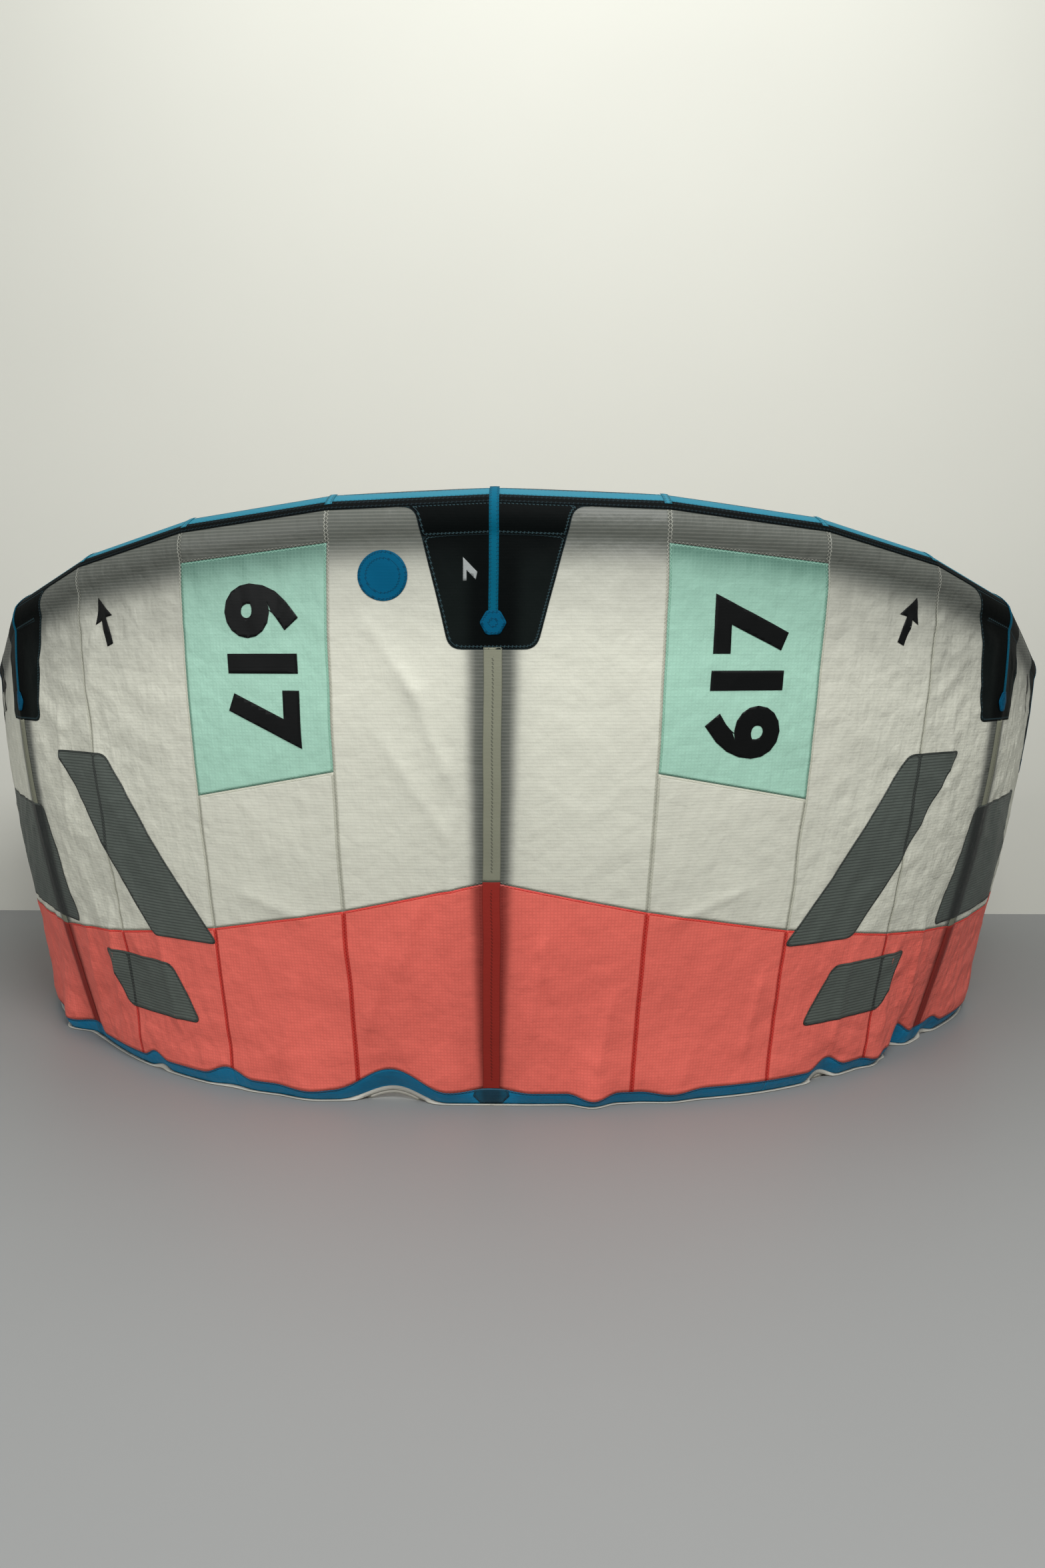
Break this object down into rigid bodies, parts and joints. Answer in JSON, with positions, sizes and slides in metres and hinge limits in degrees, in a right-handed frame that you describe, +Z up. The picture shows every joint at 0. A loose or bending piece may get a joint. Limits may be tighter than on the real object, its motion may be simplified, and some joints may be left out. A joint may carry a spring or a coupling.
{
  "type": "inflatable kitesurfing kite",
  "caption": "Inflatable traction kite standing on its trailing edge: a curved sewn canopy on an inflated leading-edge tube and struts.",
  "frame": {"origin": "on the floor, under the middle of the kite's bounding box", "axes": "+Z up; +X towards the wing tip on the right of the convex face as seen from in front; -Y towards the convex face, so the wing tips sweep back along +Y"},
  "size_m": [3.2786, 2.2186, 1.358],
  "materials": {
    "canopy_white": "calendered ripstop polyester, off-white, slightly sheer",
    "canopy_mint": "calendered ripstop polyester, mint, slightly sheer",
    "canopy_coral": "calendered ripstop polyester, coral red, slightly sheer",
    "canopy_grey": "ripstop polyester, dark grey, sewn into the canopy",
    "tube_black": "woven polyester sailcloth, black, inflated",
    "strut_black": "woven polyester sailcloth, black, inflated",
    "patch_black": "coated polyester sailcloth, black, sewn on",
    "trim_blue": "folded polyester tape, blue, sewn on",
    "tape_beige": "folded seam tape with zigzag stitch, grey-beige",
    "print_black": "adhesive insignia cloth and screen print, black"
  },
  "bodies": {
    "root": {"edge_band_left_1": "trim_blue", "edge_band_left_2": "trim_blue", "edge_band_left_3": "trim_blue", "edge_band_left_4": "trim_blue", "edge_band_right_1": "trim_blue", "edge_band_right_2": "trim_blue", "edge_band_right_3": "trim_blue", "edge_band_right_4": "trim_blue", "header_panel_left_2": "canopy_white", "header_panel_right_2": "canopy_white", "leading_edge_left_1": "tube_black", "leading_edge_left_2": "tube_black", "leading_edge_left_3": "tube_black", "leading_edge_left_4": "tube_black", "leading_edge_left_5": "tube_black", "leading_edge_left_6": "tube_black", "leading_edge_left_7": "tube_black", "leading_edge_right_1": "tube_black", "leading_edge_right_2": "tube_black", "leading_edge_right_3": "tube_black", "leading_edge_right_4": "tube_black", "leading_edge_right_5": "tube_black", "leading_edge_right_6": "tube_black", "leading_edge_right_7": "tube_black", "lower_panel_left_1": "canopy_coral", "lower_panel_left_2": "canopy_coral", "lower_panel_left_3": "canopy_coral", "lower_panel_left_4": "canopy_coral", "lower_panel_left_5": "canopy_coral", "lower_panel_left_6": "canopy_coral", "lower_panel_right_1": "canopy_coral", "lower_panel_right_2": "canopy_coral", "lower_panel_right_3": "canopy_coral", "lower_panel_right_4": "canopy_coral", "lower_panel_right_5": "canopy_coral", "lower_panel_right_6": "canopy_coral", "mint_panel_left_2": "canopy_mint", "mint_panel_right_2": "canopy_mint", "patch_centre": "patch_black", "patch_outer_left": "patch_black", "patch_outer_right": "patch_black", "patch_quarter_left": "patch_black", "patch_quarter_right": "patch_black", "strut_centre": "strut_black", "strut_outer_left": "strut_black", "strut_outer_right": "strut_black", "strut_quarter_left": "strut_black", "strut_quarter_right": "strut_black", "upper_panel_left_1": "canopy_white", "upper_panel_left_2": "canopy_white", "upper_panel_left_3": "canopy_white", "upper_panel_left_4": "canopy_white", "upper_panel_left_5": "canopy_white", "upper_panel_left_6": "canopy_white", "upper_panel_right_1": "canopy_white", "upper_panel_right_2": "canopy_white", "upper_panel_right_3": "canopy_white", "upper_panel_right_4": "canopy_white", "upper_panel_right_5": "canopy_white", "upper_panel_right_6": "canopy_white"}
  },
  "joints": []
}
